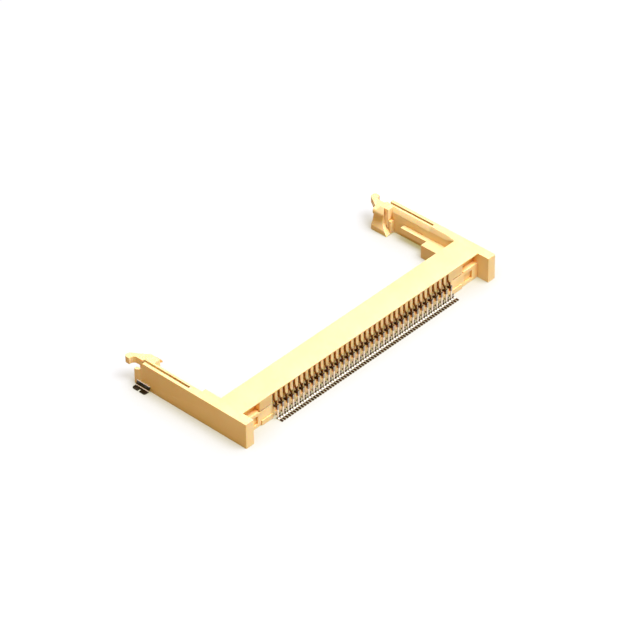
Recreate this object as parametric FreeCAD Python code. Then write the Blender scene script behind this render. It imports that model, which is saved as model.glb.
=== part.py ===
import FreeCAD, Part
import math
import os

# Right-angle surface-mount socket for a 72-position small-outline memory module.
# +X runs along the contact row, +Y points to the module side, +Z is up.
# The origin is the centre of the bar's underside, on the board's surface.
# All lengths are in millimetres.

V = FreeCAD.Vector

# Contact pattern
positions = 36
pitch = 1.27
row_stagger = 0.635
contact_width = 0.35
contact_thickness = 0.2
bend_radius = 0.12
contact_bend_steps = 2
crease_angle = math.radians(70)

# Module that the socket takes
module_width = 59.69
module_thickness = 1.0
module_rest_height = 2.8
module_side_clearance = 0.185

# Bar
height = 5.2
bar_depth = 5.5
card_slot_depth = 3.6
card_slot_clearance = 0.1
card_slot_lead_in = 0.45
channel_roof = 0.2
channel_front_wall = 0.6
upper_channel_width = 0.6
upper_channel_rise = 0.45
lower_channel_width = 0.5
lower_channel_floor = 0.9
lower_channel_rise = 0.3

# Contact beams and tails
beam_inset = 0.12
base_length = 1.5
beam_flat = 0.35
base_rise_start = 0.6
crown_intrusion = 0.3
upper_crown_y = 3.1
lower_crown_y = 4.2
crown_tip_rise = 0.35
tip_length = 0.45
leg_offset = 0.5
lower_leg_offset = 0.32
tail_reach = 2.1

# Ends of the bar's rear face
window_width = 4.1
window_floor = 3.1
window_roof = 0.22
window_depth = 1.1
pocket_width = 2.1
pocket_bottom = 0.7
pocket_top = 2.35
pocket_depth = 0.35
pocket_offset = 1.5
groove_width = 2.8
groove_overlap = 0.3
groove_height = 0.16
groove_depth = 0.3
pad_width = 2.7
pad_height = 1.0
pad_reach = 0.25
pad_clearance = 0.25

# Arms
arm_width = 1.9
arm_rear_reach = 2.52
arm_end = 23.95
wall_thickness = 0.63
step_radius = 2.1
rear_edge_radius = 0.15

# Ledges that carry the module's sides
rail_reach = 1.03
rail_thickness = 1.2
rail_end = 17.4
block_reach = 2.5
block_end = 11.2

# Latch fingers
finger_start = 11.4
finger_gap = 0.45
finger_floor_gap = 0.1
lead_in_width = 0.42
lead_in_drop = 0.85
lead_in_run = 2.2
head_start = 20.45
head_end = 23.6
head_reach = 0.95

# Hook on the finger's head
hook_start = 21.45
hook_shoulder_reach = 1.45
hook_shoulder_drop = 0.25
hook_nose_reach = 1.8
hook_nose_drop = 0.8
hook_rake = 0.82
hook_belly_slope = 0.25
hook_clearance = 0.05
post_start = 21.35
post_reach = 1.43
post_width = 0.8

# Foot of the finger, with the buttress of the post and the column under the module
foot_start = 19.87
foot_reach = 2.09
foot_height = 1.05
foot_lean = 0.58
buttress_waist_height = 1.95
buttress_waist_lean = 1.35
buttress_waist_reach = 1.62
buttress_top = 2.9
column_length = 0.5

# Thumb tab
tab_length = 2.7
tab_height = 1.35
tab_drop = 0.5
tab_drop_start = 22.3
tab_drop_run = 0.6
tab_flare = 1.1
tab_sweep = 0.8
tab_scoop_radius = 0.85
tab_tip_width = 1.2
tab_tip_radius = 0.5

# Solder hold-downs
tie_thickness = 0.2
tie_bend_steps = 3
tie_start = 20.2
tie_length = 3.1
tie_height = 1.1
tie_knee_height = 0.62
tie_foot_reach = 1.4
tie_knee_run = 0.4
tie_notch_width = 0.42
tie_notch_depth = 0.6
tie_corner_radius = 0.4
tang_length = 0.8
tang_height = 0.3
tang_centre_height = 0.85

# Distance within which two points are taken as one
near = 0.01

# Derived positions
y_rear = -bar_depth / 2
y_front = bar_depth / 2
inner_x = module_width / 2 + module_side_clearance
outer_x = inner_x + arm_width
wall_x = outer_x - wall_thickness
finger_x = wall_x - finger_gap
slot_bottom = module_rest_height - card_slot_clearance
slot_top = module_rest_height + module_thickness + card_slot_clearance
y_slot_end = y_front - card_slot_depth
y_finger = y_rear + finger_start
y_head = y_rear + head_start
y_head_end = y_rear + head_end
y_arm_end = y_rear + arm_end
y_hook = y_rear + hook_start
y_post = y_rear + post_start
y_foot = y_rear + foot_start
nose_z = module_rest_height + module_thickness + hook_clearance
upper_channel_floor = slot_bottom + upper_channel_rise
lower_channel_top = slot_bottom + lower_channel_rise
row_start = -pitch * (positions - 1) / 2 - row_stagger / 2


def box(x0, x1, y0, y1, z0, z1):
    return Part.makeBox(x1 - x0, y1 - y0, z1 - z0, V(x0, y0, z0))


def plan(points, z0, z1):
    """Extrude a closed outline in the XY plane from z0 to z1."""
    corners = [V(x, y, z0) for x, y in points]
    face = Part.Face(Part.makePolygon(corners + corners[:1]))
    return face.extrude(V(0, 0, z1 - z0))


def across(points, x0, x1):
    """Extrude a closed outline in the YZ plane from x0 to x1."""
    corners = [V(x0, y, z) for y, z in points]
    face = Part.Face(Part.makePolygon(corners + corners[:1]))
    return face.extrude(V(x1 - x0, 0, 0))


def along(points, y0, y1):
    """Extrude a closed outline in the XZ plane from y0 to y1."""
    corners = [V(x, y0, z) for x, z in points]
    face = Part.Face(Part.makePolygon(corners + corners[:1]))
    return face.extrude(V(0, y1 - y0, 0))


def mirrored(shape):
    return shape.mirror(V(0, 0, 0), V(1, 0, 0))


def edges_where(shape, test, *values):
    return [edge for edge in shape.Edges if test(edge, *values)]


def is_upright(edge, x, y):
    bounds = edge.BoundBox
    centre = bounds.Center
    return bounds.ZLength > 0.5 and abs(centre.x - x) < near and abs(centre.y - y) < near


def between(sections):
    """Solid that runs straight from one closed outline of points to the next."""
    wires = [Part.makePolygon(points + points[:1]) for points in sections]
    return Part.makeLoft(wires, True, True)


# Strip metal: outlines of bent strips of even thickness

def direction(start, end):
    length = math.dist(start, end)
    return (end[0] - start[0]) / length, (end[1] - start[1]) / length


def turned(way, angle):
    cosine = math.cos(angle)
    sine = math.sin(angle)
    return way[0] * cosine - way[1] * sine, way[0] * sine + way[1] * cosine


def beside(point, way, offset):
    """Point that lies offset to the left of a point on a line running along way."""
    return point[0] - way[1] * offset, point[1] + way[0] * offset


def bend_side(before, corner, after, offset, radius, steps):
    """Outline of one bend at offset from the centre line, a slight bend as one crease."""
    way = direction(before, corner)
    onward = direction(corner, after)
    turn = math.atan2(way[0] * onward[1] - way[1] * onward[0], way[0] * onward[0] + way[1] * onward[1])
    if abs(turn) < crease_angle:
        return [beside(corner, turned(way, turn / 2), offset / math.cos(turn / 2))]
    inward = math.copysign(radius, turn)
    setback = radius * math.tan(abs(turn) / 2)
    start = (corner[0] - way[0] * setback, corner[1] - way[1] * setback)
    centre = beside(start, way, inward)
    return [beside(centre, turned(way, turn * step / steps), offset - inward) for step in range(steps + 1)]


def strip_side(path, offset, radius, steps):
    points = [beside(path[0], direction(path[0], path[1]), offset)]
    for before, corner, after in zip(path, path[1:], path[2:]):
        points += bend_side(before, corner, after, offset, radius, steps)
    points.append(beside(path[-1], direction(path[-2], path[-1]), offset))
    return points


def strip_outline(path, thickness, inner_radius, steps):
    """Closed outline of a strip that follows path at an even thickness."""
    radius = inner_radius + thickness / 2
    left = strip_side(path, thickness / 2, radius, steps)
    right = strip_side(path, -thickness / 2, radius, steps)
    return left + right[::-1]


# Contacts

def upper_path():
    """Centre line of an upper contact, from its crown to its solder tail."""
    half = contact_thickness / 2
    seat = upper_channel_floor + half
    crown = slot_top - crown_intrusion + half
    beam = height - channel_roof - beam_inset - half
    leg = y_rear - leg_offset
    crown_y = y_rear + upper_crown_y
    return [
        (crown_y + tip_length, crown + crown_tip_rise),
        (crown_y, crown),
        (y_rear + base_length + beam_flat, beam),
        (y_rear + base_length, beam),
        (y_rear + base_rise_start, seat),
        (leg, seat),
        (leg, half),
        (y_rear - tail_reach, half),
    ]


def lower_path():
    """Centre line of a lower contact, from its crown to its solder tail."""
    half = contact_thickness / 2
    seat = lower_channel_floor + half
    crown = slot_bottom + crown_intrusion - half
    leg = y_rear - lower_leg_offset
    crown_y = y_rear + lower_crown_y
    return [
        (crown_y + tip_length, crown - crown_tip_rise),
        (crown_y, crown),
        (y_rear + base_length, seat),
        (leg, seat),
        (leg, half),
        (y_rear - tail_reach, half),
    ]


def contact(path, x):
    outline = strip_outline(path, contact_thickness, bend_radius, contact_bend_steps)
    return across(outline, x - contact_width / 2, x + contact_width / 2)


def contact_pair(index):
    x = row_start + pitch * index
    return Part.makeCompound([contact(upper_path(), x), contact(lower_path(), x + row_stagger)])


# Housing

def arm_outline():
    """Plan of the right arm with its outer wall, from the rear end round."""
    return [
        (inner_x, y_rear - arm_rear_reach),
        (outer_x, y_rear - arm_rear_reach),
        (outer_x, y_arm_end),
        (wall_x, y_arm_end),
        (wall_x, y_finger),
        (inner_x, y_finger),
    ]


def arm_step():
    """Concave cut that drops the outer wall to its front stub."""
    start = V(inner_x, y_arm_end, height)
    return Part.makeCylinder(step_radius, arm_width, start, V(1, 0, 0))


def lead_in():
    """Bevel along the arm's inner top edge, run out to nothing at the bar."""
    y_run = y_front + lead_in_run
    apex = V(inner_x, y_front, height)
    low = V(inner_x, y_run, height - lead_in_drop)
    top = V(inner_x, y_run, height)
    side = V(inner_x + lead_in_width, y_run, height)
    triangles = [(apex, low, side), (apex, side, top), (apex, top, low), (low, top, side)]
    faces = [Part.Face(Part.makePolygon([a, b, c, a])) for a, b, c in triangles]
    run_out = Part.Solid(Part.Shell(faces))
    bevel = along([(point.x, point.z) for point in (low, top, side)], y_run, y_finger)
    return bevel.fuse(run_out)


def arm():
    solid = plan(arm_outline(), 0, height)
    solid = solid.cut(arm_step())
    block = box(inner_x - block_reach, inner_x, y_front, y_rear + block_end, 0, module_rest_height)
    rail_bottom = module_rest_height - rail_thickness
    rail = box(inner_x - rail_reach, inner_x, y_front, y_finger, rail_bottom, module_rest_height)
    solid = solid.fuse([block, rail]).cut(lead_in())
    return solid.cut(tang())


def card_slot():
    """Slot for the module's edge, with a bevelled mouth."""
    mouth = card_slot_lead_in
    points = [
        (y_slot_end, slot_bottom),
        (y_front - mouth, slot_bottom),
        (y_front, slot_bottom - mouth),
        (y_front, slot_top + mouth),
        (y_front - mouth, slot_top),
        (y_slot_end, slot_top),
    ]
    return across(points, -inner_x, inner_x)


def channels():
    """Contact channels, open to the rear, the two rows staggered."""
    cuts = []
    y_end = y_front - channel_front_wall
    half_upper = upper_channel_width / 2
    half_lower = lower_channel_width / 2
    roof = height - channel_roof
    for index in range(positions):
        x = row_start + pitch * index
        cuts.append(box(x - half_upper, x + half_upper, y_rear, y_end, upper_channel_floor, roof))
        x = x + row_stagger
        low = box(x - half_lower, x + half_lower, y_rear, y_end, lower_channel_floor, slot_bottom)
        high = box(x - half_lower, x + half_lower, y_rear, y_slot_end, slot_bottom, lower_channel_top)
        cuts.append(low.fuse(high).removeSplitter())
    return cuts


def end_reliefs():
    """Window, pocket and parting groove in the right end of the rear face."""
    window_start = inner_x - window_width
    window_back = y_rear + window_depth
    window = box(window_start, inner_x, y_rear, window_back, window_floor, height - window_roof)
    pocket_end = inner_x - pocket_offset
    pocket_start = pocket_end - pocket_width
    pocket = box(pocket_start, pocket_end, y_rear, y_rear + pocket_depth, pocket_bottom, pocket_top)
    groove_end = window_start + groove_overlap
    groove_start = groove_end - groove_width
    groove_bottom = window_floor - groove_height
    groove = box(groove_start, groove_end, y_rear, y_rear + groove_depth, groove_bottom, window_floor)
    return [window, pocket, groove]


def end_pad():
    """Low pad that stands out beside the last contact."""
    last_contact = -row_start
    x0 = last_contact + contact_width / 2 + pad_clearance
    return box(x0, x0 + pad_width, y_rear - pad_reach, y_rear, 0, pad_height)


def housing():
    bar = box(-inner_x, inner_x, y_rear, y_front, 0, height)
    bar = bar.cut([card_slot()] + channels())
    for cut in end_reliefs():
        bar = bar.cut([cut, mirrored(cut)])
    right = arm().fuse(end_pad())
    solid = bar.fuse([right, mirrored(right)]).removeSplitter()
    rear = y_rear - arm_rear_reach
    corners = [edge for x in (-outer_x, outer_x) for edge in edges_where(solid, is_upright, x, rear)]
    return solid.makeFillet(rear_edge_radius, corners)


# Latch fingers

def finger_beam():
    bottom = finger_floor_gap
    points = [
        (inner_x, bottom),
        (finger_x, bottom),
        (finger_x, height),
        (inner_x + lead_in_width, height),
        (inner_x, height - lead_in_drop),
    ]
    return along(points, y_finger, y_head_end)


def finger_head():
    """Thicker end of the finger, with the post that passes the module's notch."""
    x0 = inner_x - head_reach
    head = box(x0, finger_x, y_head, y_head_end, finger_floor_gap, height)
    post = box(inner_x - post_reach, x0, y_post, y_head_end, finger_floor_gap, nose_z)
    return head.fuse(post)


def hook():
    """Rounded wedge over the module's edge, its rear end raked and its belly falling towards the tab."""
    outline = [
        (head_reach, height, 0),
        (hook_shoulder_reach, height - hook_shoulder_drop, 0),
        (hook_nose_reach, height - hook_nose_drop, 0),
        (hook_nose_reach, nose_z, hook_belly_slope),
        (head_reach, nose_z, hook_belly_slope),
    ]
    near_end = []
    far_end = []
    for reach, z, slope in outline:
        y = y_hook - hook_rake * (reach - head_reach)
        near_end.append(V(inner_x - reach, y, z))
        far_end.append(V(inner_x - reach, y_head_end, z - slope * (y_head_end - y)))
    return between([near_end, far_end])


def buttress():
    """Flared strut that leans from the post down to the foot's corner."""
    levels = [
        (foot_height, foot_reach, y_foot + foot_lean),
        (buttress_waist_height, buttress_waist_reach, y_foot + buttress_waist_lean),
        (buttress_top, post_reach, y_post),
    ]
    sections = []
    for z, reach, y in levels:
        x0 = inner_x - reach
        x1 = x0 + post_width
        sections.append([V(x0, y, z), V(x1, y, z), V(x1, y_head_end, z), V(x0, y_head_end, z)])
    return between(sections)


def finger_foot():
    """Foot with a leaning rear face, and the column that carries the module's corner."""
    profile = [
        (y_foot, finger_floor_gap),
        (y_foot + foot_lean, foot_height),
        (y_head_end, foot_height),
        (y_head_end, finger_floor_gap),
    ]
    foot = across(profile, inner_x - foot_reach, finger_x)
    y1 = y_foot + column_length
    column = box(inner_x - head_reach, inner_x, y_foot, y1, finger_floor_gap, module_rest_height)
    return foot.fuse(column)


def finger_rail():
    """The finger's share of the module rail."""
    rail_bottom = module_rest_height - rail_thickness
    return box(inner_x - rail_reach, inner_x, y_finger, y_rear + rail_end, rail_bottom, module_rest_height)


def thumb_tab():
    """Tab that sweeps outward from the head to a rounded tip, scooped on its outer side."""
    y1 = y_head_end + tab_length
    tip_out = finger_x + tab_flare
    tip_in = inner_x + tab_sweep
    corner = tab_tip_radius
    scoop = tab_scoop_radius
    rise = y1 - tab_tip_width
    middle = math.sin(math.pi / 4)
    scoop_centre = V(finger_x + scoop, rise - scoop, 0)
    tip_centre = V(tip_out - corner, y1 - corner, 0)
    root_in = V(inner_x - head_reach, y_head_end, 0)
    root_back = V(inner_x, y_head, 0)
    edges = [
        Part.makeLine(V(finger_x, y_head, 0), scoop_centre - V(scoop, 0, 0)),
        Part.Arc(
            scoop_centre - V(scoop, 0, 0),
            scoop_centre + V(-scoop * middle, scoop * middle, 0),
            scoop_centre + V(0, scoop, 0),
        ).toShape(),
        Part.makeLine(scoop_centre + V(0, scoop, 0), V(tip_out, rise, 0)),
        Part.makeLine(V(tip_out, rise, 0), tip_centre + V(corner, 0, 0)),
        Part.Arc(
            tip_centre + V(corner, 0, 0),
            tip_centre + V(corner * middle, corner * middle, 0),
            tip_centre + V(0, corner, 0),
        ).toShape(),
        Part.makeLine(tip_centre + V(0, corner, 0), V(tip_in, y1, 0)),
        Part.makeLine(V(tip_in, y1, 0), root_in),
        Part.makeLine(root_in, root_back),
        Part.makeLine(root_back, V(finger_x, y_head, 0)),
    ]
    face = Part.Face(Part.Wire(edges))
    face.translate(V(0, 0, height - tab_drop - tab_height))
    tab = face.extrude(V(0, 0, tab_height))
    return tab.makeFillet(tab_tip_radius, edges_where(tab, is_upright, tip_in, y1))


def crown_drop():
    """Space over the tab, reached by a slope from the finger's top."""
    y0 = y_rear + tab_drop_start
    y1 = y_head_end + tab_length
    z = height - tab_drop
    points = [(y0, height), (y0 + tab_drop_run, z), (y1, z), (y1, height)]
    return across(points, inner_x - hook_nose_reach, finger_x + tab_flare)


def latch():
    pieces = [finger_head(), hook(), buttress(), finger_foot(), finger_rail(), thumb_tab()]
    return finger_beam().fuse(pieces).cut(crown_drop()).removeSplitter()


# Solder hold-downs

def tang():
    """Tongue of the hold-down that is pressed into the outer wall."""
    y = y_rear + tie_start + tie_length / 2
    half = tang_length / 2
    z = tang_centre_height
    z0 = z - tang_height / 2
    return box(wall_x, outer_x, y - half, y + half, z0, z0 + tang_height)


def hold_down():
    half = tie_thickness / 2
    face_x = outer_x + half
    path = [
        (face_x, tie_height),
        (face_x, tie_knee_height),
        (face_x + tie_knee_run, half),
        (outer_x + tie_foot_reach, half),
    ]
    outline = strip_outline(path, tie_thickness, bend_radius, tie_bend_steps)
    y0 = y_rear + tie_start
    plate = along(outline, y0, y0 + tie_length)
    middle = y0 + tie_length / 2
    toe = outer_x + tie_foot_reach
    half_notch = tie_notch_width / 2
    notch = box(toe - tie_notch_depth, toe, middle - half_notch, middle + half_notch, 0, tie_thickness)
    plate = plate.cut(notch)
    corners = edges_where(plate, is_corner, toe, (y0, y0 + tie_length))
    plate = plate.makeFillet(tie_corner_radius, corners)
    return plate.fuse(tang()).removeSplitter()


def is_corner(edge, x, ends):
    centre = edge.BoundBox.Center
    return abs(centre.x - x) < near and min(abs(centre.y - end) for end in ends) < near


def save(shape, name):
    shape.exportStep(os.path.join("parts", name + ".step"))
    print(name, len(shape.Solids), round(shape.Volume, 3), shape.isValid())


def main():
    os.makedirs("parts", exist_ok=True)
    save(housing(), "housing")
    right_latch = latch()
    save(right_latch, "latch_right")
    save(mirrored(right_latch), "latch_left")
    right_tie = hold_down()
    save(right_tie, "hold_down_right")
    save(mirrored(right_tie), "hold_down_left")
    for index in range(positions):
        save(contact_pair(index), "contact_pair_%02d" % (index + 1))


main()
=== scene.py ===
"""Looks of a right-angle socket for a small-outline memory module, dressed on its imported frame."""

import logging
import math
from dataclasses import dataclass, field
from enum import Enum

import bpy
from mathutils import Matrix, Vector


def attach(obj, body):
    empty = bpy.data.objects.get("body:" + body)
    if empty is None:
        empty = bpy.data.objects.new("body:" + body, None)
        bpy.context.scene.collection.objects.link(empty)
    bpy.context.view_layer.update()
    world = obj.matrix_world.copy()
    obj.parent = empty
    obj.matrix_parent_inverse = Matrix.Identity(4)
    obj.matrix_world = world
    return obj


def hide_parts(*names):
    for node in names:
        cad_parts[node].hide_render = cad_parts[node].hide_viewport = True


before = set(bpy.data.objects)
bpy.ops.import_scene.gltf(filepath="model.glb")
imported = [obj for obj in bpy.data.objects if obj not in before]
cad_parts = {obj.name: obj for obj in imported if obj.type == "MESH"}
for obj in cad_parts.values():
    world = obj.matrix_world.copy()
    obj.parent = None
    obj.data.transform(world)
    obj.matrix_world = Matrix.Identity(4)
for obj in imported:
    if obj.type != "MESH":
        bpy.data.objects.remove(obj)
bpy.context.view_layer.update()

MM = 0.001
SMOOTH_ANGLE = 24.0
NOISE_MIDDLE = (0.3, 0.7)
PLAIN_SHARE = (0.0, 1.0)
# Heights up to which the contact legs get the painted highlight; above them, painted shade
UPPER_LIT_TOP = 2.0 * MM
LOWER_LIT_TOP = 0.6 * MM
SHEET_ROUNDING = 0.04 * MM
log = logging.getLogger("memory_socket")


class Slot(Enum):
    """Material slots of the record."""

    PLASTIC = "housing_plastic"
    CONTACT = "contact_metal"
    HOLD_DOWN = "hold_down_metal"


class Body(Enum):
    """Bodies of the frame that pieces ride on."""

    HOUSING = "housing"
    LATCH_LEFT = "latch_left"
    LATCH_RIGHT = "latch_right"


# Mesh tools

def pick_only(piece: bpy.types.Object) -> None:
    """Make one object the only selected and active one.

    Args:
        piece: Object to select.
    """
    bpy.ops.object.select_all(action="DESELECT")
    piece.select_set(True)
    bpy.context.view_layer.objects.active = piece


def edit(piece: bpy.types.Object, select: str = "SELECT") -> None:
    """Open a mesh in edit mode.

    Args:
        piece: Mesh object to open.
        select: What happens to the selection, SELECT or DESELECT.
    """
    pick_only(piece)
    bpy.ops.object.mode_set(mode="EDIT")
    bpy.ops.mesh.select_all(action=select)


def leave_edit() -> None:
    """Go back to object mode."""
    bpy.ops.object.mode_set(mode="OBJECT")


def round_edges(piece: bpy.types.Object, width: float, segments: int, sharpest: float) -> None:
    """Round the sharp edges of a mesh and apply the rounding.

    Args:
        piece: Mesh object to change.
        width: Width of the rounding in metres.
        segments: Number of facets across the rounding.
        sharpest: Edges that turn by more than this many degrees are rounded.
    """
    pick_only(piece)
    bevel = piece.modifiers.new("edge_rounding", "BEVEL")
    bevel.width = width
    bevel.segments = segments
    bevel.limit_method = "ANGLE"
    bevel.angle_limit = math.radians(sharpest)
    bevel.use_clamp_overlap = True
    bevel.harden_normals = False
    bpy.ops.object.modifier_apply(modifier=bevel.name)
    bpy.ops.object.shade_smooth_by_angle(angle=math.radians(SMOOTH_ANGLE))


@dataclass(frozen=True)
class SoftZone:
    """Box around the edges that get a wider rounding, the same on both sides of the socket.

    Args:
        low: Smallest (|x|, y, z) in millimetres.
        high: Largest (|x|, y, z) in millimetres.
        radius: Width of the rounding in millimetres.
        segments: Facets across the rounding.
    """

    low: tuple
    high: tuple
    radius: float
    segments: int = 3

    def holds(self, point: Vector) -> bool:
        """Tell whether a point lies in the box.

        Args:
            point: Place in metres.

        Returns:
            True inside the box.
        """
        place = (abs(point.x) / MM, point.y / MM, point.z / MM)
        return all(low <= value <= high for low, value, high in zip(self.low, place, self.high))

    def round(self, piece: bpy.types.Object) -> None:
        """Round the edges of a mesh that lie wholly in the box.

        Args:
            piece: Mesh object to change.
        """
        edit(piece, "DESELECT")
        bpy.ops.mesh.select_mode(type="EDGE")
        leave_edit()
        corners = piece.data.vertices
        for edge in piece.data.edges:
            edge.select = all(self.holds(corners[index].co) for index in edge.vertices)
        bpy.ops.object.mode_set(mode="EDIT")
        bpy.ops.mesh.bevel(offset=self.radius * MM, segments=self.segments, clamp_overlap=True)
        bpy.ops.mesh.select_mode(type="VERT")
        leave_edit()


@dataclass(frozen=True)
class CornerMove:
    """A corner that is drawn to a new place, the same on both sides of the socket.

    Args:
        start: Place (|x|, y, z) of the corner in millimetres.
        end: New place in millimetres.
        reach: How far from the start a corner still counts, in millimetres.
    """

    start: tuple
    end: tuple
    reach: float = 0.04

    def draw(self, piece: bpy.types.Object) -> None:
        """Move the corner of a mesh.

        Args:
            piece: Mesh object to change.
        """
        for corner in piece.data.vertices:
            side = math.copysign(1.0, corner.co.x)
            place = Vector((abs(corner.co.x), corner.co.y, corner.co.z)) / MM
            if (place - Vector(self.start)).length < self.reach:
                corner.co = Vector((self.end[0] * side, self.end[1], self.end[2])) * MM


# Finishes

@dataclass
class Shading:
    """A node material under construction.

    Args:
        name: Name of the material.
    """

    name: str
    material: bpy.types.Material = field(init=False)
    surface: bpy.types.ShaderNode = field(init=False)

    def __post_init__(self) -> None:
        """Start the material with its surface shader."""
        self.material = bpy.data.materials.new(self.name)
        self.material.use_nodes = True
        self.surface = self.material.node_tree.nodes["Principled BSDF"]

    def add(self, kind: str, **settings: object) -> bpy.types.ShaderNode:
        """Add one node.

        Args:
            kind: Blender's name of the node type.
            settings: Properties of the node, or input sockets by name with spaces as underscores.

        Returns:
            The new node.
        """
        node = self.material.node_tree.nodes.new(kind)
        for key, value in settings.items():
            if hasattr(node, key):
                setattr(node, key, value)
            else:
                node.inputs[key.replace("_", " ")].default_value = value
        return node

    def join(self, source: bpy.types.NodeSocket, target: bpy.types.NodeSocket) -> None:
        """Link an output to an input.

        Args:
            source: Output socket.
            target: Input socket.
        """
        self.material.node_tree.links.new(source, target)

    def place(self) -> bpy.types.NodeSocket:
        """Return the object coordinates of the surface."""
        return self.add("ShaderNodeTexCoord").outputs["Object"]

    def set_surface(self, **settings: object) -> None:
        """Set constants of the surface shader.

        Args:
            settings: Values by input name with spaces as underscores.
        """
        for key, value in settings.items():
            self.surface.inputs[key.replace("_", " ")].default_value = value

    def finish_with(self, shader: bpy.types.NodeSocket) -> None:
        """Put another shader in the place of the surface shader.

        Args:
            shader: Output of the other shader.
        """
        nodes = self.material.node_tree.nodes
        self.join(shader, nodes["Material Output"].inputs["Surface"])
        nodes.remove(self.surface)

    def noise(self, scale: float, detail: float, roughness: float = 0.5) -> bpy.types.NodeSocket:
        """Add a noise pattern.

        Args:
            scale: Waves per metre.
            detail: Number of finer layers.
            roughness: Share of the finer layers.

        Returns:
            Value socket of the noise.
        """
        node = self.add("ShaderNodeTexNoise", Scale=scale, Detail=detail, Roughness=roughness)
        self.join(self.place(), node.inputs["Vector"])
        return node.outputs["Fac"]

    def remap(self, value: bpy.types.NodeSocket, start: tuple, end: tuple) -> bpy.types.NodeSocket:
        """Map one range of a value to another and hold it there.

        Args:
            value: Value to map.
            start: Lower and upper end of the range that is read.
            end: Results at those two ends.

        Returns:
            Value socket of the result.
        """
        node = self.add("ShaderNodeMapRange")
        node.inputs["From Min"].default_value = start[0]
        node.inputs["From Max"].default_value = start[1]
        node.inputs["To Min"].default_value = end[0]
        node.inputs["To Max"].default_value = end[1]
        self.join(value, node.inputs["Value"])
        return node.outputs["Result"]

    def spread(self, value: bpy.types.NodeSocket, span: tuple = PLAIN_SHARE) -> bpy.types.NodeSocket:
        """Map the middle of a noise to a range.

        Args:
            value: Noise to map.
            span: Lower and upper end of the range.

        Returns:
            Value socket of the result.
        """
        return self.remap(value, NOISE_MIDDLE, span)

    def step(self, value: bpy.types.NodeSocket, level: float, blur: float) -> bpy.types.NodeSocket:
        """Turn a value into a soft step from 0 below a level to 1 above it.

        Args:
            value: Value that crosses the level.
            level: Middle of the step.
            blur: Width of the step.

        Returns:
            Value socket of the step.
        """
        return self.remap(value, (level - blur / 2, level + blur / 2), PLAIN_SHARE)

    def band(self, value: bpy.types.NodeSocket, low: float, high: float,
             blur: float) -> bpy.types.NodeSocket:
        """Return 1 where a value lies between two levels, with soft ends.

        Args:
            value: Value that crosses the levels.
            low: Lower level.
            high: Upper level.
            blur: Width of each soft end.

        Returns:
            Value socket of the band.
        """
        above = self.step(value, low, blur)
        below = self.remap(value, (high - blur / 2, high + blur / 2), (1.0, 0.0))
        return self.calculate("MULTIPLY", above, below)

    def either(self, one: bpy.types.NodeSocket, other: bpy.types.NodeSocket) -> bpy.types.NodeSocket:
        """Return the larger of two values.

        Args:
            one: First value.
            other: Second value.

        Returns:
            Value socket of the larger one.
        """
        return self.calculate("MAXIMUM", one, other)

    def calculate(self, operation: str, one: bpy.types.NodeSocket,
                  other: bpy.types.NodeSocket) -> bpy.types.NodeSocket:
        """Calculate with two values.

        Args:
            operation: Blender's name of the operation.
            one: First value.
            other: Second value.

        Returns:
            Value socket of the result.
        """
        node = self.add("ShaderNodeMath", operation=operation)
        self.join(one, node.inputs[0])
        self.join(other, node.inputs[1])
        return node.outputs["Value"]

    def axes(self) -> tuple:
        """Return the object coordinates as three value sockets."""
        split = self.add("ShaderNodeSeparateXYZ")
        self.join(self.place(), split.inputs["Vector"])
        return split.outputs["X"], split.outputs["Y"], split.outputs["Z"]

    def openness(self, reach: float, own_walls: bool = True, samples: int = 4) -> bpy.types.NodeSocket:
        """Return 1 on open faces and less in hollows.

        Args:
            reach: How far a wall counts, in metres.
            own_walls: Whether only the piece's own walls count.
            samples: Rays at each point.

        Returns:
            Value socket of the openness.
        """
        node = self.add("ShaderNodeAmbientOcclusion", samples=samples, Distance=reach)
        node.only_local = own_walls
        return node.outputs["AO"]

    def blend(self, share: bpy.types.NodeSocket, low: tuple, high: tuple) -> bpy.types.NodeSocket:
        """Mix two colours.

        Args:
            share: Share of the second colour.
            low: First colour, linear.
            high: Second colour, linear.

        Returns:
            Colour socket of the mix.
        """
        node = self.add("ShaderNodeMix", data_type="RGBA")
        node.inputs[6].default_value = (*low, 1.0)
        node.inputs[7].default_value = (*high, 1.0)
        self.join(share, node.inputs["Factor"])
        return node.outputs[2]

    def lay_over(self, base: bpy.types.NodeSocket, share: bpy.types.NodeSocket,
                 colour: tuple) -> bpy.types.NodeSocket:
        """Lay a plain colour over a colour socket.

        Args:
            base: Colour underneath.
            share: Share of the plain colour.
            colour: Plain colour, linear.

        Returns:
            Colour socket of the mix.
        """
        node = self.add("ShaderNodeMix", data_type="RGBA")
        self.join(base, node.inputs[6])
        node.inputs[7].default_value = (*colour, 1.0)
        self.join(share, node.inputs["Factor"])
        return node.outputs[2]

    def relief(self, height: bpy.types.NodeSocket, depth: float, strength: float) -> None:
        """Raise the surface by a pattern.

        Args:
            height: Height pattern.
            depth: Height of the pattern in metres.
            strength: Strength of the relief.
        """
        node = self.add("ShaderNodeBump", Strength=strength, Distance=depth)
        self.join(height, node.inputs["Height"])
        self.join(node.outputs["Normal"], self.surface.inputs["Normal"])


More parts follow.
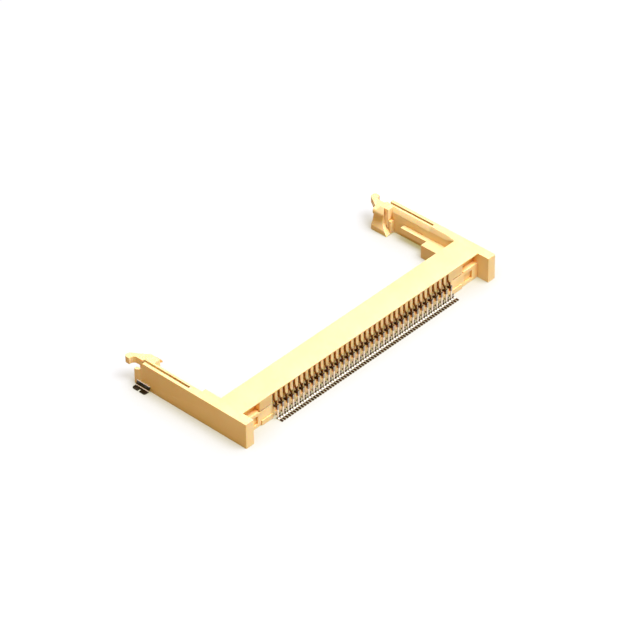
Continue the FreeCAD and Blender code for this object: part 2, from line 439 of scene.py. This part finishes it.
@dataclass(frozen=True)
class MouldedPlastic:
    """Natural, unpainted moulded polymer: matte and a little translucent, with painted shade laid in
    as deep orange in its hollows and dark brown in its tightest creases.
    """

    name: str = "cream_moulded_polymer"
    pale: tuple = (0.92, 0.745, 0.385)
    deep: tuple = (0.90, 0.715, 0.345)
    # Painted shade: a deep orange laid where the moulding's own walls close in within this reach
    painted_hollow_shade: tuple = (0.95, 0.45, 0.06)
    hollow_shade_reach: float = 2.0 * MM
    hollow_shade_range: tuple = (0.25, 0.82)
    # Painted shade: a dark brown laid into the tightest creases of the moulding
    painted_crease_shade: tuple = (0.42, 0.16, 0.03)
    crease_shade_reach: float = 0.7 * MM
    crease_shade_range: tuple = (0.15, 0.62)
    mottle_scale: float = 260.0
    mottle_detail: float = 3.0
    grain_scale: float = 9000.0
    grain_detail: float = 2.0
    grain_roughness: float = 0.6
    grain_depth: float = 0.012 * MM
    grain_strength: float = 0.35
    roughness: tuple = (0.42, 0.56)
    refraction: float = 1.5
    gloss: float = 0.35
    glow_weight: float = 0.35
    glow_radius: tuple = (1.0, 0.45, 0.15)
    glow_reach: float = 0.3 * MM

    def make(self) -> bpy.types.Material:
        """Build the material.

        Returns:
            The finished material.
        """
        shading = Shading(self.name)
        mottle = shading.spread(shading.noise(self.mottle_scale, self.mottle_detail))
        colour = shading.blend(mottle, self.pale, self.deep)
        # Painted shade: deeper colours where walls close in, deep orange in hollows and dark brown in
        # the tightest creases
        colour = self.paint_hollow_shade(shading, colour, self.hollow_shade_reach, self.hollow_shade_range, self.painted_hollow_shade)
        colour = self.paint_hollow_shade(shading, colour, self.crease_shade_reach, self.crease_shade_range, self.painted_crease_shade)
        shading.join(colour, shading.surface.inputs["Base Color"])
        grain = shading.noise(self.grain_scale, self.grain_detail, self.grain_roughness)
        shading.join(shading.spread(grain, self.roughness), shading.surface.inputs["Roughness"])
        shading.relief(grain, self.grain_depth, self.grain_strength)
        shading.set_surface(IOR=self.refraction, Specular_IOR_Level=self.gloss)
        shading.set_surface(Subsurface_Weight=self.glow_weight, Subsurface_Radius=self.glow_radius)
        shading.set_surface(Subsurface_Scale=self.glow_reach)
        return shading.material

    def paint_hollow_shade(self, shading: Shading, base: bpy.types.NodeSocket, reach: float, span: tuple,
               colour: tuple) -> bpy.types.NodeSocket:
        """Paint shade into the hollows of the moulding: a deeper colour where walls close in.

        Args:
            shading: The material under construction.
            base: Colour underneath.
            reach: How far a wall counts, in metres.
            span: Openness at which the painted shade is full, and at which it ends.
            colour: Colour of the painted shade, linear.

        Returns:
            Colour socket of the result.
        """
        hidden = shading.remap(shading.openness(reach), span, (1.0, 0.0))
        return shading.lay_over(base, hidden, colour)


@dataclass(frozen=True)
class PlatedStrip:
    """Plated contact strip, one metal drawn lit and shaded: painted highlight on the leg and the
    middle of the tail, painted shade in dark brown above that part of the leg, near the heel and over
    the end of the tail, a warm painted reflection high in its channel, and a gilt crown.

    Args:
        name: Name of the material.
        lit_top: Height above which the leg gets painted shade instead of the painted highlight, in
            metres.
    """

    name: str
    lit_top: float
    # The plating's pale colour, drawn bright and nearly non-metal as a painted highlight on the leg
    # and the middle of the tail
    plate_and_highlight: tuple = (0.99, 0.97, 0.86)
    plate_and_highlight_metal: float = 0.05
    # Painted shade: the plating drawn dark brown above the lit part of the leg, near the heel and over
    # the end of the tail, with lighter streaks
    painted_shade_brown: tuple = (0.06, 0.026, 0.01)
    painted_shade_streak: tuple = (0.16, 0.075, 0.03)
    # Painted reflection: warm brown for the orange moulding mirrored on the strip high in its channel
    painted_warm_reflection: tuple = (0.36, 0.15, 0.035)
    warm_reflection_start: float = 3.5 * MM
    gold: tuple = (0.88, 0.62, 0.26)
    crown_start: float = -0.5 * MM
    tail_top: float = 0.5 * MM
    tail_inner: float = -3.8 * MM
    tail_outer: float = -4.2 * MM
    blur: float = 0.1 * MM
    warm_reflection_blur: float = 0.4 * MM
    streak_scale: float = 2600.0
    streak_detail: float = 2.0
    streak_depth: float = 0.003 * MM
    streak_strength: float = 0.2
    roughness: tuple = (0.24, 0.4)

    def make(self) -> bpy.types.Material:
        """Build the material.

        Returns:
            The finished material.
        """
        shading = Shading(self.name)
        _, reach, height = shading.axes()
        streaks = shading.noise(self.streak_scale, self.streak_detail)
        colour = shading.blend(shading.spread(streaks), self.painted_shade_brown, self.painted_shade_streak)
        high = shading.step(height, self.warm_reflection_start, self.warm_reflection_blur)
        colour = shading.lay_over(colour, high, self.painted_warm_reflection)
        # Painted highlight on the middle of the tail and the lower leg; painted shade elsewhere
        tail = shading.band(reach, self.tail_outer, self.tail_inner, self.blur)
        leg = shading.band(height, self.tail_top, self.lit_top, self.blur)
        painted_highlight = shading.either(tail, leg)
        colour = shading.lay_over(colour, painted_highlight, self.plate_and_highlight)
        crown = shading.step(reach, self.crown_start, self.blur)
        colour = shading.lay_over(colour, crown, self.gold)
        shading.join(colour, shading.surface.inputs["Base Color"])
        metal = shading.remap(painted_highlight, PLAIN_SHARE, (1.0, self.plate_and_highlight_metal))
        shading.join(metal, shading.surface.inputs["Metallic"])
        shading.join(shading.spread(streaks, self.roughness), shading.surface.inputs["Roughness"])
        shading.relief(streaks, self.streak_depth, self.streak_strength)
        return shading.material


@dataclass(frozen=True)
class TinnedSteel:
    """Tinned sheet of the hold-downs, drawn near-black as a painted dark reflection, with a painted
    highlight along its bend and its upper edge.
    """

    name: str = "tinned_sheet"
    # Painted reflection: the tin drawn near-black, mottled, for the dark surroundings that it mirrors
    painted_dark_reflection: tuple = (0.03, 0.028, 0.025)
    light: tuple = (0.10, 0.095, 0.09)
    # Painted highlight: a near-white, nearly non-metal band along the bend and at the upper edge
    painted_highlight: tuple = (0.95, 0.93, 0.90)
    highlight_metal: float = 0.25
    bend_low: float = 0.24 * MM
    bend_high: float = 0.36 * MM
    edge_height: float = 1.07 * MM
    blur: float = 0.04 * MM
    cloud_scale: float = 1400.0
    cloud_detail: float = 3.0
    cloud_roughness: float = 0.6
    grain_scale: float = 7000.0
    grain_detail: float = 2.0
    grain_depth: float = 0.006 * MM
    grain_strength: float = 0.3
    roughness: tuple = (0.22, 0.42)

    def make(self) -> bpy.types.Material:
        """Build the material.

        Returns:
            The finished material.
        """
        shading = Shading(self.name)
        _, _, height = shading.axes()
        cloud = shading.noise(self.cloud_scale, self.cloud_detail, self.cloud_roughness)
        colour = shading.blend(shading.spread(cloud), self.painted_dark_reflection, self.light)
        bend = shading.band(height, self.bend_low, self.bend_high, self.blur)
        edge = shading.step(height, self.edge_height, self.blur)
        # Painted highlight on the bend and the upper edge, over the painted dark reflection
        painted_highlight = shading.either(bend, edge)
        colour = shading.lay_over(colour, painted_highlight, self.painted_highlight)
        shading.join(colour, shading.surface.inputs["Base Color"])
        metal = shading.remap(painted_highlight, PLAIN_SHARE, (1.0, self.highlight_metal))
        shading.join(metal, shading.surface.inputs["Metallic"])
        grain = shading.noise(self.grain_scale, self.grain_detail)
        shading.join(shading.spread(grain, self.roughness), shading.surface.inputs["Roughness"])
        shading.relief(grain, self.grain_depth, self.grain_strength)
        return shading.material


@dataclass(frozen=True)
class PaperFloor:
    """White sheet under the socket that keeps the soft shadow and adds a painted contact shadow around
    it.
    """

    name: str = "white_paper"
    seen: tuple = (0.27, 0.27, 0.25)
    bounce: tuple = (0.36, 0.26, 0.15)
    glow: float = 0.65
    glow_tint: tuple = (0.94, 0.97, 1.03)
    # Painted contact shadow: the sheet's own light turns to this tint where the socket stands within
    # this reach
    painted_shadow_tint: tuple = (0.48, 0.40, 0.0)
    painted_shadow_reach: float = 7.0 * MM

    def make(self) -> bpy.types.Material:
        """Build the material: a matt sheet that the camera and gloss see as white.

        Returns:
            The finished material.
        """
        shading = Shading(self.name)
        path = shading.add("ShaderNodeLightPath")
        direct = shading.either(path.outputs["Is Camera Ray"], path.outputs["Is Glossy Ray"])
        direct = shading.either(direct, path.outputs["Is Transmission Ray"])
        sheet = shading.add("ShaderNodeBsdfDiffuse")
        shading.join(shading.blend(direct, self.bounce, self.seen), sheet.inputs["Color"])
        both = shading.add("ShaderNodeAddShader")
        shading.join(sheet.outputs["BSDF"], both.inputs[0])
        shading.join(self.own_light(shading, direct), both.inputs[1])
        shading.finish_with(both.outputs["Shader"])
        return shading.material

    def own_light(self, shading: Shading, direct: bpy.types.NodeSocket) -> bpy.types.NodeSocket:
        """Add the light that makes the sheet white; near the socket it is weaker and warmer, a painted
        contact shadow.

        Args:
            shading: The material under construction.
            direct: 1 where the sheet is looked at, and 0 where it only lights the socket.

        Returns:
            Shader socket of the light.
        """
        light = shading.add("ShaderNodeEmission")
        # Painted contact shadow: the light turns to the shadow tint near the socket's walls
        open_air = shading.openness(self.painted_shadow_reach, own_walls=False)
        tint = shading.blend(open_air, self.painted_shadow_tint, self.glow_tint)
        shading.join(tint, light.inputs["Color"])
        shading.join(shading.remap(direct, PLAIN_SHARE, (0.0, self.glow)), light.inputs["Strength"])
        return light.outputs["Emission"]


def wear(piece: bpy.types.Object, material: bpy.types.Material) -> None:
    """Give a piece one material all over.

    Args:
        piece: Mesh object to dress.
        material: Its finish.
    """
    piece.data.materials.clear()
    piece.data.materials.append(material)


# Sub-assemblies

@dataclass
class RoundedCopy:
    """A rigid node of the frame with its edges rounded as a tool leaves them.

    Args:
        node: Name of the node.
        name: Name of the piece.
        body: Body that it rides on.
        slot: Material slot of the record; not used.
        radius: Edge rounding in metres.
        segments: Facets across the rounding.
        corner_moves: Corners that are drawn to a new place.
        soft_zones: Places with a wider rounding.
        merge_distance: Corners closer than this many metres are joined.
        flat_angle: Facets that turn by less than this many degrees are joined.
        sharpest: Edges that turn by more than this many degrees are rounded.
    """

    node: str
    name: str
    body: Body
    slot: Slot
    radius: float = 0.06 * MM
    segments: int = 2
    corner_moves: tuple = ()
    soft_zones: tuple = ()
    merge_distance: float = 0.002 * MM
    flat_angle: float = 1.0
    sharpest: float = 22.0
    piece: bpy.types.Object = field(init=False)

    def build(self) -> None:
        """Copy the node's mesh, join its facets and round its edges."""
        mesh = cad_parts[self.node].data.copy()
        self.piece = bpy.data.objects.new(self.name, mesh)
        bpy.context.scene.collection.objects.link(self.piece)
        edit(self.piece)
        bpy.ops.mesh.remove_doubles(threshold=self.merge_distance)
        bpy.ops.mesh.dissolve_limited(angle_limit=math.radians(self.flat_angle))
        leave_edit()
        for move in self.corner_moves:
            move.draw(self.piece)
        for zone in self.soft_zones:
            zone.round(self.piece)
        round_edges(self.piece, self.radius, self.segments, self.sharpest)

    def dress(self, material: bpy.types.Material) -> None:
        """Give the piece its finish and body, and hide the node that it replaces.

        Args:
            material: Its finish.
        """
        wear(self.piece, material)
        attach(self.piece, self.body.value)
        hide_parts(self.node)
        log.info("%s: %d faces", self.name, len(self.piece.data.polygons))


# Corners of the hook's nose, from its top edge down to its lip, drawn into one slope
HOOK_RAMP = (
    CornerMove((28.58, 18.29, 4.95), (28.58, 18.29, 4.74)),
    CornerMove((28.58, 19.85, 4.95), (28.58, 19.8, 4.64)),
    CornerMove((28.42, 20.15, 4.7), (28.42, 20.1, 4.5)),
    CornerMove((28.42, 20.85, 4.7), (28.42, 20.8, 4.42)),
    CornerMove((28.23, 18.0, 4.4), (28.12, 18.0, 4.2)),
    CornerMove((28.23, 20.85, 4.4), (28.12, 20.65, 4.12)),
    CornerMove((28.23, 18.0, 3.85), (28.2, 18.0, 3.9)),
    CornerMove((28.23, 20.85, 3.14), (28.25, 20.7, 3.5)),
)
# Edges of the latch with a wider rounding
HOOK_LIP = SoftZone(low=(28.05, 15.0, 4.05), high=(28.15, 21.0, 4.25), radius=0.25)
TAB_TOP = SoftZone(low=(30.0, 22.2, 4.65), high=(33.0, 24.0, 4.75), radius=0.3)
TAB_UNDERSIDE = SoftZone(low=(30.0, 22.2, 3.3), high=(33.0, 24.0, 3.4), radius=0.2)
LATCH_ZONES = (HOOK_LIP, TAB_TOP, TAB_UNDERSIDE)


@dataclass
class BentStrip:
    """A strip drawn along a bent centre line in the YZ plane, by extruding and spinning its end.

    Args:
        name: Name of the strip.
        corners: Points (y, z) of the centre line's corners in millimetres, from the tail.
        radii: Bend radius at each inner corner in millimetres.
        width: Width along X in millimetres.
        thickness: Thickness of the strip in millimetres.
        coin: Rounding of the strip's edges in millimetres.
        square_angle: Edges that turn by more than this many degrees get that rounding.
        degrees_per_step: Turn of one facet of a bend.
        fewest_steps: Facets of the slightest bend.
        merge_distance: Corners closer than this many metres are joined.
    """

    name: str
    corners: list
    radii: list
    width: float = 0.35
    thickness: float = 0.2
    coin: float = 0.03
    square_angle: float = 60.0
    degrees_per_step: float = 15.0
    fewest_steps: int = 2
    merge_distance: float = 0.001 * MM
    piece: bpy.types.Object = field(init=False)

    def build(self) -> None:
        """Draw the strip at x = 0."""
        points = [Vector((0, y, z)) * MM for y, z in self.corners]
        ways = [(after - before).normalized() for before, after in zip(points, points[1:])]
        self.start_section(points[0], ways[0])
        here = points[0]
        for index, corner in enumerate(points[1:-1]):
            radius = self.radii[index] * MM
            way, onward = ways[index], ways[index + 1]
            turn = math.atan2(way.cross(onward).x, way.dot(onward))
            setback = radius * math.tan(abs(turn) / 2)
            self.extrude(corner - way * setback - here)
            side = Vector((0, -way.z, way.y)) * math.copysign(radius, turn)
            self.spin(corner - way * setback + side, turn)
            here = corner + onward * setback
        self.extrude(points[-1] - here)
        bpy.ops.mesh.select_all(action="SELECT")
        bpy.ops.mesh.remove_doubles(threshold=self.merge_distance)
        bpy.ops.mesh.normals_make_consistent(inside=False)
        leave_edit()
        round_edges(self.piece, self.coin * MM, 1, self.square_angle)

    def start_section(self, start: Vector, way: Vector) -> None:
        """Add the strip's end face, square to its first run.

        Args:
            start: Middle of the end face.
            way: Direction of the first run.
        """
        bpy.ops.object.select_all(action="DESELECT")
        tilt = math.atan2(-way.y, way.z)
        bpy.ops.mesh.primitive_plane_add(size=1.0)
        self.piece = bpy.context.active_object
        self.piece.name = self.name
        shape = Matrix.Diagonal((self.width * MM, self.thickness * MM, 1.0, 1.0))
        self.piece.data.transform(Matrix.Translation(start) @ Matrix.Rotation(tilt, 4, "X") @ shape)
        bpy.ops.object.mode_set(mode="EDIT")
        bpy.ops.mesh.select_all(action="SELECT")

    def extrude(self, move: Vector) -> None:
        """Draw a straight run.

        Args:
            move: The run, from its start to its end.
        """
        bpy.ops.mesh.extrude_region_move(TRANSFORM_OT_translate={"value": tuple(move)})

    def spin(self, centre: Vector, turn: float) -> None:
        """Draw a bend.

        Args:
            centre: Middle of the bend.
            turn: Angle of the bend in radians, positive from +Y to +Z.
        """
        steps = max(self.fewest_steps, round(math.degrees(abs(turn)) / self.degrees_per_step))
        bpy.ops.mesh.spin(steps=steps, angle=turn, center=tuple(centre), axis=(1, 0, 0))


@dataclass
class ContactRow:
    """The comb of spring contacts: an upper and a lower strip at each position.

    Lengths are in millimetres, and depths are counted forwards from the rear face of the bar.

    Args:
        upper_finish: Material of the upper strips.
        lower_finish: Material of the lower strips.
    """

    upper_finish: bpy.types.Material
    lower_finish: bpy.types.Material
    positions: int = 36
    pitch: float = 1.27
    stagger: float = 0.635
    rear: float = -2.75
    tail_reach: float = 2.1
    half: float = 0.1
    tip_length: float = 0.45
    tip_rise: float = 0.35
    tail_radius: float = 0.22
    slack_radius: float = 0.3
    upper_leg_offset: float = 0.5
    upper_seat: float = 3.25
    upper_seat_end: float = 0.6
    upper_beam: float = 4.78
    upper_beam_start: float = 1.5
    upper_beam_end: float = 1.85
    upper_beam_radius: float = 0.2
    upper_crown: float = 3.7
    upper_crown_depth: float = 3.1
    lower_leg_offset: float = 0.32
    lower_seat: float = 1.0
    lower_seat_end: float = 1.5
    lower_crown: float = 2.9
    lower_crown_depth: float = 4.2

    def upper_strip(self) -> BentStrip:
        """Return the strip of the upper row, from its tail to its crown's tip."""
        leg = self.rear - self.upper_leg_offset
        crown = self.rear + self.upper_crown_depth
        corners = [
            (self.rear - self.tail_reach, self.half),
            (leg, self.half),
            (leg, self.upper_seat),
            (self.rear + self.upper_seat_end, self.upper_seat),
            (self.rear + self.upper_beam_start, self.upper_beam),
            (self.rear + self.upper_beam_end, self.upper_beam),
            (crown, self.upper_crown),
            (crown + self.tip_length, self.upper_crown + self.tip_rise),
        ]
        radii = [
            self.tail_radius,
            self.tail_radius,
            self.slack_radius,
            self.upper_beam_radius,
            self.upper_beam_radius,
            self.slack_radius,
        ]
        return BentStrip("upper_strip", corners, radii)

    def lower_strip(self) -> BentStrip:
        """Return the strip of the lower row, from its tail to its crown's tip."""
        leg = self.rear - self.lower_leg_offset
        crown = self.rear + self.lower_crown_depth
        corners = [
            (self.rear - self.tail_reach, self.half),
            (leg, self.half),
            (leg, self.lower_seat),
            (self.rear + self.lower_seat_end, self.lower_seat),
            (crown, self.lower_crown),
            (crown + self.tip_length, self.lower_crown - self.tip_rise),
        ]
        radii = [self.tail_radius, self.tail_radius, self.slack_radius, self.slack_radius]
        return BentStrip("lower_strip", corners, radii)

    def build(self) -> None:
        """Draw both strips once and copy them along the row."""
        first = -self.pitch * (self.positions - 1) / 2 - self.stagger / 2
        rows = (
            (self.upper_strip(), self.upper_finish, 0.0),
            (self.lower_strip(), self.lower_finish, self.stagger),
        )
        for strip, finish, offset in rows:
            strip.build()
            wear(strip.piece, finish)
            for index in range(self.positions):
                self.copy(strip, index, first + self.pitch * index + offset)
            log.info("%s: %d copies", strip.name, self.positions)
            bpy.data.objects.remove(strip.piece)

    def copy(self, strip: BentStrip, index: int, x: float) -> None:
        """Place one copy of a strip in its channel.

        Args:
            strip: The drawn strip at x = 0.
            index: Place in the row, from 0.
            x: Centre of the strip in millimetres.
        """
        mesh = strip.piece.data.copy()
        mesh.transform(Matrix.Translation((x * MM, 0, 0)))
        piece = bpy.data.objects.new("contact_%s_%02d" % (strip.name, index + 1), mesh)
        bpy.context.scene.collection.objects.link(piece)
        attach(piece, Body.HOUSING.value)
        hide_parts("contact_pair_%02d" % (index + 1))


@dataclass(frozen=True)
class SoftLamp:
    """A soft square lamp that points at the socket.

    Args:
        name: Name of the lamp.
        way: Direction from the socket to the lamp.
        distance: Distance in metres.
        size: Side of the lamp in metres.
        power: Power in watts.
        colour: Linear colour.
    """

    name: str
    way: tuple
    distance: float
    size: float
    power: float
    colour: tuple

    def hang(self, target: Vector) -> None:
        """Hang the lamp.

        Args:
            target: Place that the lamp points at.
        """
        data = bpy.data.lights.new(self.name, "AREA")
        data.shape = "SQUARE"
        data.size = self.size
        data.energy = self.power
        data.color = self.colour
        lamp = bpy.data.objects.new(self.name, data)
        bpy.context.scene.collection.objects.link(lamp)
        direction = Vector(self.way).normalized()
        lamp.location = target + direction * self.distance
        lamp.rotation_euler = direction.to_track_quat("Z", "Y").to_euler()


KEY_LAMP = SoftLamp(
    name="key",
    way=(0.12, -0.38, 1.0),
    distance=0.9,
    size=0.5,
    power=12.6,
    colour=(0.94, 1.0, 1.2),
)


@dataclass
class Studio:
    """Floor, lamp and camera of the photograph, in metres and degrees."""

    floor_size: float = 8.0
    floor_drop: float = 0.02 * MM
    target: tuple = (0.00211, 0.00949, 0.0)
    camera_place: tuple = (-0.35208677, -0.32409700, 0.37927877)
    camera_turn: tuple = (52.06060292, 0.55662319, -47.14997759)
    lens: float = 198.082
    sensor_width: float = 36.0
    nearest: float = 0.01
    farthest: float = 20.0
    world_colour: tuple = (1.0, 0.58, 0.14)
    world_level: float = 0.46

    def build(self) -> None:
        """Set up the floor, the light and the camera."""
        self.add_floor()
        self.add_world()
        KEY_LAMP.hang(Vector(self.target))
        self.add_camera()
        bpy.context.scene.view_settings.view_transform = "Standard"

    def add_floor(self) -> None:
        """Lay the white sheet under the socket."""
        bpy.ops.object.select_all(action="DESELECT")
        bpy.ops.mesh.primitive_plane_add(size=self.floor_size, location=(0, 0, -self.floor_drop))
        floor = bpy.context.active_object
        floor.name = "white_sheet"
        wear(floor, PaperFloor().make())

    def add_world(self) -> None:
        """Fill the room with dim, warm light."""
        world = bpy.data.worlds.new("studio_room")
        world.use_nodes = True
        background = world.node_tree.nodes["Background"]
        background.inputs["Color"].default_value = (*self.world_colour, 1.0)
        background.inputs["Strength"].default_value = self.world_level
        bpy.context.scene.world = world

    def add_camera(self) -> None:
        """Place the camera at the photograph's angle."""
        data = bpy.data.cameras.new("camera")
        data.lens = self.lens
        data.sensor_width = self.sensor_width
        data.clip_start = self.nearest
        data.clip_end = self.farthest
        camera = bpy.data.objects.new("camera", data)
        bpy.context.scene.collection.objects.link(camera)
        camera.location = self.camera_place
        camera.rotation_euler = [math.radians(angle) for angle in self.camera_turn]
        bpy.context.scene.camera = camera


@dataclass(frozen=True)
class FinishSet:
    """The finished materials of the socket.

    Args:
        plastic: Material of housing and latches.
        upper_plating: Material of the upper contacts.
        lower_plating: Material of the lower contacts.
        tinned: Material of the hold-downs.
    """

    plastic: bpy.types.Material
    upper_plating: bpy.types.Material
    lower_plating: bpy.types.Material
    tinned: bpy.types.Material

    def of_node(self, name: str) -> bpy.types.Material:
        """Choose the finish of a node of the frame.

        Args:
            name: Name of the node.

        Returns:
            Its material.
        """
        if name.startswith("contact"):
            return self.upper_plating
        if name.startswith("hold_down"):
            return self.tinned
        return self.plastic


def make_finishes() -> FinishSet:
    """Make every material of the socket once.

    Returns:
        The materials.
    """
    return FinishSet(
        plastic=MouldedPlastic().make(),
        upper_plating=PlatedStrip("plated_upper_strip", UPPER_LIT_TOP).make(),
        lower_plating=PlatedStrip("plated_lower_strip", LOWER_LIT_TOP).make(),
        tinned=TinnedSteel().make(),
    )


def rounded_pieces() -> list:
    """List the pieces that are rounded copies of their nodes.

    Returns:
        The housing, the latches and the hold-downs, not built yet.
    """
    pieces = [RoundedCopy("housing", "housing_moulding", Body.HOUSING, Slot.PLASTIC)]
    for side, body in (("left", Body.LATCH_LEFT), ("right", Body.LATCH_RIGHT)):
        latch = RoundedCopy("latch_" + side, "latch_finger_" + side, body, Slot.PLASTIC)
        latch.corner_moves = HOOK_RAMP
        latch.soft_zones = LATCH_ZONES
        pieces.append(latch)
    for side in ("left", "right"):
        tie = RoundedCopy("hold_down_" + side, "solder_tie_" + side, Body.HOUSING, Slot.HOLD_DOWN)
        tie.radius = SHEET_ROUNDING
        pieces.append(tie)
    return pieces


def main() -> None:
    """Build and dress every sub-assembly, then the studio."""
    logging.basicConfig(level=logging.INFO)
    finishes = make_finishes()
    for piece in rounded_pieces():
        piece.build()
        piece.dress(finishes.of_node(piece.node))
    ContactRow(finishes.upper_plating, finishes.lower_plating).build()
    for name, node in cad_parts.items():
        wear(node, finishes.of_node(name))
    Studio().build()


if __name__ == "__main__":
    main()
